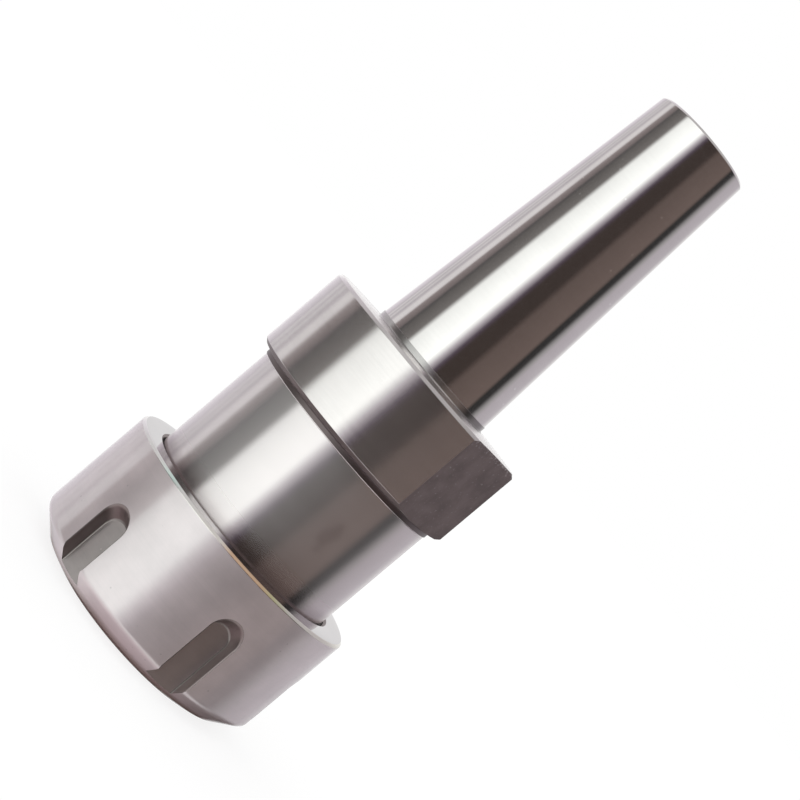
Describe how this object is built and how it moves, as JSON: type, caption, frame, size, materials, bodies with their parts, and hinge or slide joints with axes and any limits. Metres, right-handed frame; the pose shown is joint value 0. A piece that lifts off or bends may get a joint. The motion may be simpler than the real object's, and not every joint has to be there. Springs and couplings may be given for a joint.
{
  "type": "collet chuck holder",
  "caption": "Collet chuck holder with a ground taper shank, a collar with wrench flats, a slotted clamping nut and a slit spring collet inside.",
  "frame": {"origin": "on the axis, in the plane of the clamping nut's front face, on which the part stands", "axes": "+Z along the axis from the nut's front face to the shank's end, X across the two wrench flats"},
  "size_m": [0.05, 0.05, 0.1232],
  "materials": {
    "ground_steel": "ground, with fine marks round the axis, and rough on the wrench flats",
    "satin_steel": "satin turned",
    "collet_steel": "ground"
  },
  "bodies": {
    "holder": {"holder_body": "ground_steel"},
    "collet": {"collet": "collet_steel"},
    "nut": {"clamping_nut": "satin_steel"}
  },
  "joints": [
    {"name": "collet_travel", "type": "slide", "parent": "holder", "child": "collet", "axis": [0, 0, -1], "range_m": [0, 0.0105]},
    {"name": "nut_turn", "type": "hinge", "parent": "collet", "child": "nut", "pos_m": [0, 0, 0.012], "axis": [0, 0, -1], "range_deg": [0, 2520]}
  ],
  "couplings": [
    {"joint": "collet_travel", "follows": "nut_turn", "m_per_rad": 0.00023873}
  ]
}
